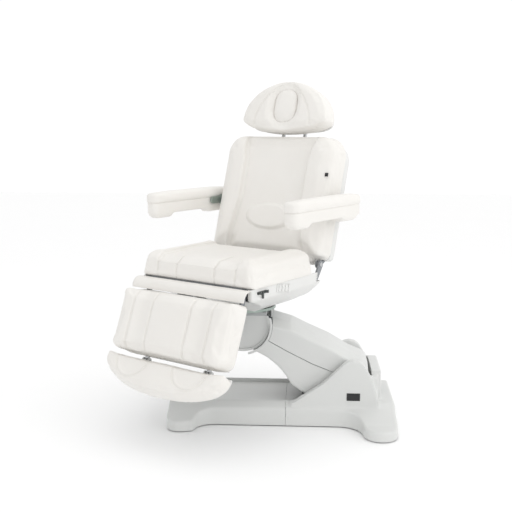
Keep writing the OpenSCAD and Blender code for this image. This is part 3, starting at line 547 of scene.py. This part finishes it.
def half_moon(name, centre, half, rise, drop, low, high):
    """A flat pad from the cylinder primitive, its outline stretched more above than below."""
    bpy.ops.object.select_all(action="DESELECT")
    bpy.ops.mesh.primitive_cylinder_add(vertices=72, radius=1, depth=high - low,
                                        location=(0, 0, (low + high) / 2))
    made = bpy.context.object
    made.name = made.data.name = name
    bpy.ops.object.transform_apply(location=True, rotation=True, scale=True)
    where = points(made)
    where[:, 0] *= half
    where[:, 1] = centre + where[:, 1] * np.where(where[:, 1] > 0, rise, drop)
    place_points(made, where)
    return made


head = half_moon("headrest_cover", 0.831, 0.231, 0.178, 0.0555, -0.078, 0.004)
hole = block("opening", (-0.0608, 0.8125, -0.2), (0.0608, 0.9735, 0.2))
round_edges(hole, 0.057, 8, upright)
applied(head, "BOOLEAN", operation="DIFFERENCE", object=hole, solver="EXACT")
bpy.data.objects.remove(hole, do_unlink=True)
stuffed(head, 0.005, 3, 0.009, -0.070, 3)
where = points(head)
up = step_between(facings(head)[:, 2], 0.1, 0.7)
rim_gap = np.hypot(where[:, 0] / 0.068, (where[:, 1] - 0.893) / 0.088)
dome = 1 - np.clip(np.hypot(where[:, 0] / 0.235, (where[:, 1] - 0.875) / 0.17), 0, 1) ** 2
where[:, 2] += up * (0.010 * dome - 0.009 * np.exp(-((rim_gap - 1) / 0.22) ** 2))
place_points(head, where)
head_seams = [[(s * x, 0.775 + y) for x, y in ((0.030, 0.212), (0.058, 0.198), (0.098, 0.160),
                                               (0.130, 0.112), (0.147, 0.070), (0.152, 0.030))]
              for s in (-1, 1)]
sew(head, head_seams, [0, 1], (0, 0, 1), 0.003, 0.005)
head_thread = double_stitch(head, "headrest_thread", head_seams, [0, 1], (0, 0, 1))
finished(head, back_pose, "headrest", leatherette, "headrest_cushion")
finished(head_thread, back_pose, "headrest", thread)

plug = block("face_plug_cover", (-0.0595, 0.8138, -0.059), (0.0595, 0.9722, 0.001))
round_edges(plug, 0.053, 8, upright)
stuffed(plug, 0.0045, 3, 0.004, -0.052, 3)
where = points(plug)
dome = 1 - np.clip(np.hypot(where[:, 0] / 0.06, (where[:, 1] - 0.893) / 0.08), 0, 1) ** 2
where[:, 2] += step_between(facings(plug)[:, 2], 0.1, 0.7) * 0.008 * dome
place_points(plug, where)
finished(plug, back_pose, "face_plug", leatherette, "face_plug")

# ---- Leg rest cushion -----------------------------------------------------------------------
# The same foam and cloth on its own board: a stitched ridge between two calf channels and
# narrow bolsters, with a seam where the face meets the side band.
leg_pose = seat_pose @ turned((-0.333, -0.115), 67.8)
leg = block("leg_cushion_cover", (-0.298, -0.656, -0.0950), (0.298, -0.386, -0.003))
round_edges(leg, 0.042, 5, lambda c, e: upright(c, e) and c.y < -0.5)
round_edges(leg, 0.024, 4, lambda c, e: upright(c, e) and c.y > -0.5)
round_edges(leg, 0.024, 4, lambda c, e: all(p.z > -0.01 for p in e))
stuffed(leg, 0.0065, 4, 0.010, -0.084)
where = points(leg)
across = np.abs(where[:, 0])
up = step_between(facings(leg)[:, 2], 0.1, 0.7)
channel = np.exp(-((across - 0.155) / 0.042) ** 2)
where[:, 2] += up * (0.004 - 0.012 * channel + 0.003 * np.exp(-(across / 0.06) ** 2))
place_points(leg, where)
leg_seams = [[(x, -0.648), (x, -0.395)] for x in (-0.205, -0.1, 0.1, 0.205)]
band_seams = [[(s * 0.287, -0.62), (s * 0.284, -0.41)] for s in (-1, 1)]
sew(leg, leg_seams, [0, 1], (0, 0, 1))
sew(leg, band_seams, [0, 1], (0, 0, 1), 0.0025, 0.004)
leg_thread = double_stitch(leg, "leg_cushion_thread", leg_seams, [0, 1], (0, 0, 1))
finished(leg, leg_pose, "leg_rest", leatherette, "leg_cushion")
finished(leg_thread, leg_pose, "leg_rest", thread)

# ---- Foot rest cushion ----------------------------------------------------------------------
# A half-moon pad on its board, with two stitched heel pads sunk into the face.
foot_pose = leg_pose @ turned((-0.672, -0.112), -20)
foot = half_moon("foot_cushion_cover", -0.704, 0.307, 0.122, 0.122, -0.0915, -0.031)
where = points(foot)
for axis, size, middle in ((0, 0.307, 0), (1, 0.122, -0.704)):
    share = (where[:, axis] - middle) / size
    where[:, axis] = middle + size * np.sign(share) * np.abs(share) ** 0.9
place_points(foot, where)
choose(foot, "FACE", lambda c, e: True)
bpy.ops.mesh.select_all(action="SELECT")
bpy.ops.mesh.bisect(plane_co=(0, -0.694, 0), plane_no=(0, 1, 0), use_fill=True, clear_outer=True)
bpy.ops.object.mode_set(mode="OBJECT")
stuffed(foot, 0.0055, 4, 0.008, -0.083, 3)
where = points(foot)
up = step_between(facings(foot)[:, 2], 0.1, 0.7)
heel = np.minimum(*[np.hypot((where[:, 0] - s * 0.150) / 0.088, (where[:, 1] + 0.694) / 0.094)
                    for s in (-1, 1)])
groove = np.exp(-(where[:, 0] / 0.045) ** 2)
where[:, 2] += up * (0.002 - 0.005 * (1 - step_between(heel, 0.8, 1.0)) + 0.002 * groove)
place_points(foot, where)
heel_seams = [[(s * 0.150 + 0.088 * math.cos(t), -0.697 - 0.094 * math.sin(t))
               for t in [math.pi * i / 20 for i in range(21)]] for s in (-1, 1)]
sew(foot, heel_seams, [0, 1], (0, 0, 1), 0.003, 0.0045)
foot_thread = double_stitch(foot, "foot_cushion_thread", heel_seams, [0, 1], (0, 0, 1))
finished(foot, foot_pose, "foot_rest", leatherette, "foot_cushion")
finished(foot_thread, foot_pose, "foot_rest", thread)

# ---- Armrests -------------------------------------------------------------------------------
# A long padded top sewn to a lower body with a rounded belly at each end, where the screws and
# the pivot sit. Both are covered in the same cloth, with a seam between them.
for side, name in ((1, "left"), (-1, "right")):
    x = side * 0.368
    pad = block(f"armrest_pad_{name}_cover", (x - 0.037, -0.209, 0.196), (x + 0.037, 0.339, 0.239))
    round_edges(pad, 0.031, 6, upright)
    round_edges(pad, 0.014, 3, lambda c, e: all(p.z > 0.23 for p in e))
    stuffed(pad, 0.0055, 3, 0.006, 0.199, 3)
    finished(pad, seat_pose, f"armrest_{name}", leatherette, f"armrest_pad_{name}")
    body = block(f"armrest_body_{name}", (x - 0.034, -0.206, 0.146), (x + 0.034, 0.336, 0.199))
    round_edges(body, 0.028, 6, upright)
    bellies = [block("belly", (x - 0.033, lo, 0.127), (x + 0.033, hi, 0.17))
               for lo, hi in ((-0.196, -0.080), (0.165, 0.305))]
    for belly in bellies:
        round_edges(belly, 0.026, 5, upright)
        round_edges(belly, 0.012, 3, lambda c, e: all(p.z < 0.14 for p in e))
    take(body)
    for belly in bellies:
        belly.select_set(True)
    bpy.ops.object.join()
    stuffed(body, 0.0055, 0, 0, -1, 10)
    finished(body, seat_pose, f"armrest_{name}", leatherette, f"armrest_shell_{name}")

# ---- Leg flap -------------------------------------------------------------------------------
# A strip of the same cloth that covers the gap over the leg hinge: tacked under the seat's front
# edge, arched over the gap and tacked behind the leg rest's top edge.
bpy.ops.object.select_all(action="DESELECT")
bpy.ops.mesh.primitive_grid_add(x_subdivisions=90, y_subdivisions=24, size=1)
flap = bpy.context.object
flap.name = flap.data.name = "leg_flap_cloth"
where = points(flap)
run = where[:, 1] + 0.5
bow_y = np.array([-0.350, -0.364, -0.377, -0.388, -0.396, -0.402, -0.405])
bow_z = np.array([-0.1005, -0.0995, -0.1010, -0.1060, -0.1150, -0.1270, -0.1400])
at = np.linspace(0, 1, 7)
sag = 0.0015 * np.sin(where[:, 0] * 19) * np.sin(run * math.pi)
place_points(flap, np.stack([where[:, 0] * 0.594, np.interp(run, at, bow_y),
                             np.interp(run, at, bow_z) + sag], axis=1))
applied(flap, "SMOOTH", factor=0.5, iterations=2)
applied(flap, "SOLIDIFY", thickness=0.0015, offset=0)
finished(flap, seat_pose, "seat", leatherette, "front_flap")
flap.parent = None
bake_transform(flap)

# ---- Base covers ----------------------------------------------------------------------------
# Two open-bottomed ABS shells that meet at a seam: a front foot with a shallow tray, and a rear
# foot with two cheeks round the arm's tower. Both are screwed to the welded frame.


def plate(name, low, high, x0, x1, steps=80):
    """A solid between two lines along the length and two planes across it."""
    bpy.ops.object.select_all(action="DESELECT")
    bpy.ops.mesh.primitive_grid_add(x_subdivisions=steps, y_subdivisions=2, size=2)
    made = bpy.context.object
    made.name = made.data.name = name
    where = points(made)
    y = np.interp(where[:, 0], (-1, 1), (low[0][0], low[-1][0]))
    base, top = np.interp(y, *zip(*low)), np.interp(y, *zip(*high))
    place_points(made, np.stack([np.full_like(y, x1), y,
                                 base + (where[:, 1] + 1) / 2 * (top - base)], axis=1))
    applied(made, "SOLIDIFY", thickness=x1 - x0, offset=-1)
    return made


def drum(name, centre, radius, length, axis="Z", sides=64):
    bpy.ops.object.select_all(action="DESELECT")
    bpy.ops.mesh.primitive_cylinder_add(
        vertices=sides, radius=radius, depth=length, location=centre,
        rotation=(0, math.pi / 2, 0) if axis == "X" else (0, 0, 0))
    made = bpy.context.object
    made.name = made.data.name = name
    bpy.ops.object.transform_apply(location=True, rotation=True, scale=True)
    return made


def joined(pieces, voxel, relax):
    """One closed skin round overlapping solids, its edges rounded by relaxing it."""
    take(pieces[0])
    for piece in pieces:
        piece.select_set(True)
    bpy.ops.object.join()
    applied(pieces[0], "REMESH", mode="VOXEL", voxel_size=voxel, use_smooth_shade=True)
    applied(pieces[0], "SMOOTH", factor=0.5, iterations=relax)
    return pieces[0]


def cut(piece, *tools):
    for tool in tools:
        applied(piece, "BOOLEAN", operation="DIFFERENCE", object=tool, solver="EXACT")
        bpy.data.objects.remove(tool, do_unlink=True)


def trim(piece, spot, facing):
    """Cuts away what lies beyond a plane and leaves the cut open."""
    choose(piece, "FACE", lambda c, e: True)
    bpy.ops.mesh.select_all(action="SELECT")
    bpy.ops.mesh.bisect(plane_co=spot, plane_no=facing, clear_outer=True)
    bpy.ops.object.mode_set(mode="OBJECT")


def twin(piece, name):
    made = piece.copy()
    made.data = piece.data.copy()
    made.name = made.data.name = name
    bpy.context.collection.objects.link(made)
    return made


def creased(piece):
    """Smooth shading with sharp edges past 40 degrees."""
    take(piece)
    bpy.ops.object.shade_smooth_by_angle(angle=math.radians(40))
    bpy.ops.object.select_all(action="DESELECT")


def moulded(piece, body, material, *stands_for, slot, wall=0.0035):
    """Gives an open skin its wall, then finishes it where it stands."""
    applied(piece, "SOLIDIFY", thickness=wall, offset=-1)
    finished(piece, Matrix(), body, material, *stands_for, slot=slot)
    creased(piece)


parts = [block("base_skin", (-0.200, -0.26, -0.03), (0.200, 0.59, 0.102)),
         block("front_bar", (-0.237, -0.319, -0.03), (0.237, -0.201, 0.102)),
         block("rear_bar", (-0.296, 0.518, -0.03), (0.296, 0.662, 0.102))]
for side in (-1, 1):
    parts.append(drum("front_tip", (side * 0.237, -0.260, 0.036), 0.059, 0.132))
    parts.append(drum("rear_tip", (side * 0.296, 0.590, 0.036), 0.072, 0.132))
    for y, low, high, r in ((-0.116, -0.231, -0.116, 0.085), (0.418, 0.418, 0.548, 0.100)):
        x = side * (0.200 + r)
        web = block("web", (min(side * 0.17, x), low, -0.03), (max(side * 0.17, x), high, 0.102))
        cut(web, drum("round", (x, y, 0), r, 0.5))
        parts.append(web)
base_skin = joined(parts, 0.006, 2)
where = points(base_skin)
ceiling = np.interp(np.abs(where[:, 0]), (0, 0.162, 0.200, 0.296, 0.368),
                    (0.102, 0.102, 0.079, 0.047, 0.043))
where[:, 2] *= np.where(where[:, 2] > 0, ceiling / 0.102, 1)
place_points(base_skin, where)
applied(base_skin, "SMOOTH", factor=0.5, iterations=12)
cheek_low = [(0.212, 0.060), (0.590, 0.060)]
cheek_high = [(0.212, 0.100), (0.231, 0.108), (0.280, 0.142), (0.345, 0.186), (0.404, 0.244),
              (0.438, 0.277), (0.458, 0.290), (0.480, 0.294), (0.505, 0.289), (0.525, 0.274),
              (0.542, 0.247), (0.566, 0.198), (0.582, 0.148), (0.590, 0.100)]
parts = [base_skin, block("rear_wall", (-0.17, 0.556, 0.05), (0.17, 0.588, 0.22)),
         block("rear_bulge", (-0.120, 0.548, 0.05), (0.120, 0.604, 0.235))]
parts += [plate("cheek", cheek_low, cheek_high, min(side * 0.149, side * 0.1892),
                max(side * 0.149, side * 0.1892)) for side in (-1, 1)]
base_skin = joined(parts, 0.0048, 4)
cut(base_skin, block("well", (-0.150, 0.262, -0.2), (0.150, 0.562, 0.5)),
    block("tray", (-0.150, -0.255, 0.085), (0.150, 0.263, 0.2)),
    drum("arm_pin_hole", (0, 0.480, 0.180), 0.0145, 0.314, "X", 32),
    drum("link_pin_hole", (0, 0.496, 0.209), 0.0105, 0.314, "X", 32),
    block("inlet_pocket", (-0.0275, 0.594, 0.1345), (0.0275, 0.62, 0.1675)))
trim(base_skin, (0, 0, 0.0045), (0, 0, -1))
front_skin = twin(base_skin, "base_front_shell")
base_skin.name = base_skin.data.name = "base_rear_shell"
trim(front_skin, (0, 0.1894, 0), (0, 1, 0))
trim(base_skin, (0, 0.1906, 0), (0, -1, 0))
moulded(front_skin, "base", abs_grey, "base_front_cover", slot="cover_white")
moulded(base_skin, "base", abs_grey, "base_rear_cover", slot="cover_white")

# ---- Arm covers -----------------------------------------------------------------------------
# Two ABS shells round the lift arm: a crowned upper one that rides the levelling link, and a
# lower one screwed to the arm, with a slot under it for the lift actuator.
split_line = [(0.060, 0.395), (0.099, 0.372), (0.196, 0.318), (0.301, 0.265), (0.401, 0.225),
              (0.440, 0.204), (0.548, 0.196)]
ridge = [(0.060, 0.449), (0.137, 0.427), (0.212, 0.406), (0.278, 0.373), (0.378, 0.329),
         (0.466, 0.276), (0.524, 0.252), (0.548, 0.236)]
upper = joined([plate("upper_arm_shell", [(y, z - 0.03) for y, z in split_line], ridge,
                      -0.135, 0.135)], 0.0055, 5)
where = points(upper)
split = np.interp(where[:, 1], *zip(*split_line))
top = np.interp(where[:, 1], *zip(*ridge))
crown = 1 - step_between(np.abs(where[:, 0]), 0.055, 0.150)
where[:, 2] += 0.026 * crown * np.clip((where[:, 2] - split) / (top - split), 0, 1)
place_points(upper, where)


def on_split(c, e):
    return all(abs(p.z - np.interp(p.y, *zip(*split_line))) < 0.0004 for p in e)


def drop_faces(piece, test):
    choose(piece, "FACE", test)
    bpy.ops.mesh.delete(type="FACE")
    bpy.ops.object.mode_set(mode="OBJECT")


cut(upper, plate("below", [(y, z - 0.1) for y, z in split_line], split_line, -0.2, 0.2),
    drum("head_sweep", (0, 0, 0.428), 0.131, 0.5, "X", 96))
drop_faces(upper, on_split)
moulded(upper, "upper_link", abs_grey, "upper_arm_cover", slot="cover_white")

under = [(0.010, 0.327), (0.035, 0.321), (0.070, 0.308), (0.107, 0.288), (0.140, 0.262),
         (0.168, 0.235), (0.190, 0.205), (0.210, 0.172), (0.240, 0.147), (0.262, 0.134),
         (0.300, 0.110), (0.372, 0.098), (0.432, 0.150)]
lower_top = [(0.010, 0.424)] + [(y, z - 0.003) for y, z in split_line[1:5]] + [(0.432, 0.204)]
lower = joined([plate("lower_arm_shell", under, [(y, z + 0.03) for y, z in lower_top],
                      -0.135, 0.135)], 0.0055, 4)
cut(lower, plate("above", lower_top, [(y, z + 0.1) for y, z in lower_top], -0.2, 0.2),
    drum("head_sweep", (0, 0, 0.428), 0.121, 0.5, "X", 96))
drop_faces(lower, lambda c, e: all(
    abs(p.z - np.interp(p.y, *zip(*lower_top))) < 0.0004 for p in e))
applied(lower, "SOLIDIFY", thickness=0.0035, offset=-1)
cut(lower, plate("slot", [(0.188, 0.16), (0.25, 0.12), (0.30, 0.05), (0.45, 0.05)],
                 [(0.188, 0.36), (0.45, 0.26)], -0.1305, 0.1305))
finished(lower, Matrix(), "lift_arm", abs_grey, "lower_arm_cover", slot="cover_white")
creased(lower)

for side in (-1, 1):
    flange = drum("arm_end_rim_left" if side > 0 else "arm_end_rim_right",
                  (side * 0.1362, 0, 0.428), 0.1295, 0.0022, "X", 96)
    cut(flange, drum("bore", (0, 0, 0.428), 0.1192, 0.4, "X", 96),
        block("above_head", (-0.3, -0.3, 0.464), (0.3, 0.3, 0.7)),
        block("before_head", (-0.3, -0.3, 0.1), (0.3, 0.024, 0.7)))
    round_edges(flange, 0.0009, 2, lambda c, e: True)
    finished(flange, Matrix(), "lift_arm", abs_grey, slot="cover_white")
    creased(flange)

# ---- Seat pan and back shell ----------------------------------------------------------------
# White ABS mouldings: a boat-shaped pan under the seat, cut out for the bracket and actuators,
# and a shallow tray behind the backrest.
pan = joined([block("seat_pan_shell", (-0.290, -0.346, -0.236), (0.290, 0.178, -0.07))], 0.006, 3)
where = points(pan)
depth = -where[:, 2]
half = np.interp(depth, (0.146, 0.170, 0.197, 0.236), (0.290, 0.270, 0.243, 0.165))
front = np.interp(depth, (0.146, 0.170, 0.197, 0.236), (-0.346, -0.276, -0.210, -0.155))
rear = np.interp(depth, (0.146, 0.197, 0.236), (0.178, 0.148, 0.125))
where[:, 0] *= half / 0.290
where[:, 1] = front + (where[:, 1] + 0.346) / 0.524 * (rear - front)
place_points(pan, where)
applied(pan, "SMOOTH", factor=0.5, iterations=4)
trim(pan, (0, 0, -0.0985), (0, 0, 1))
applied(pan, "SOLIDIFY", thickness=0.0035, offset=-1)
cut(pan, block("bracket_hole", (-0.152, -0.106, -0.3), (0.152, 0.146, -0.2)),
    block("hinge_slot", (-0.272, -0.36, -0.18), (0.272, -0.308, -0.09)),
    block("leg_slot", (-0.112, -0.36, -0.26), (-0.038, -0.12, -0.13)),
    block("back_slot", (0.038, 0.11, -0.26), (0.112, 0.20, -0.09)),
    block("ear_slot", (-0.290, 0.14, -0.14), (0.290, 0.20, -0.068)))
finished(pan, seat_pose, "seat", abs_white, "seat_pan", slot="pan_white")
creased(pan)

tray = block("back_tray_shell", (-0.304, 0.206, -0.146), (0.304, 0.751, -0.06))
round_edges(tray, 0.095, 9, lambda c, e: upright(c, e) and c.y > 0.7)
round_edges(tray, 0.024, 3, lambda c, e: upright(c, e) and c.y < 0.3)
joined([tray], 0.006, 6)
trim(tray, (0, 0, -0.1042), (0, 0, 1))
applied(tray, "SOLIDIFY", thickness=0.0035, offset=-1)
cut(tray, block("lever_slot", (0.038, 0.19, -0.18), (0.112, 0.25, -0.09)),
    block("ear_slot", (0.260, 0.20, -0.15), (0.276, 0.26, -0.09)),
    block("ear_slot", (-0.276, 0.20, -0.15), (-0.260, 0.26, -0.09)),
    block("rod_slot", (-0.071, 0.73, -0.127), (-0.049, 0.77, -0.09)),
    block("rod_slot", (0.049, 0.73, -0.127), (0.071, 0.77, -0.09)))
finished(tray, back_pose, "backrest", abs_white, "back_shell", slot="pan_white")
creased(tray)

# ---- Small mouldings and the comfort tag ----------------------------------------------------
# The remaining CAD mouldings get a fine edge radius; a blank woven tag is sewn to one bolster.
for name, width in (("head_side_caps", 0.0025), ("headrest_shell", 0.002), ("foot_board", 0.003),
                    ("control_panel", 0.0008), ("head_housing", 0.003),
                    ("hand_control_hook", 0.0008), ("armrest_bracket_left", 0.0012),
                    ("armrest_bracket_right", 0.0012), ("levelling_feet", 0.0015),
                    *[(f"button_{i}", 0.0007) for i in range(1, 9)]):
    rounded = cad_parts[name]
    weld = rounded.modifiers.new("weld", "WELD")
    weld.merge_threshold = 0.00002
    edge = rounded.modifiers.new("edge", "BEVEL")
    edge.width, edge.segments, edge.limit_method = width, 2, "ANGLE"
rubber = moulded_plastic("nitrile_rubber_black", "#202122", "#282a2b", 0.7, 2.0)
finish(rubber, "levelling_feet")
tag = block("comfort_tag", (0.272, 0.568, -0.0012), (0.288, 0.584, 0.0008))
round_edges(tag, 0.002, 2, upright)
finished(tag, back_pose, "backrest", abs_black, slot="black_plastic")
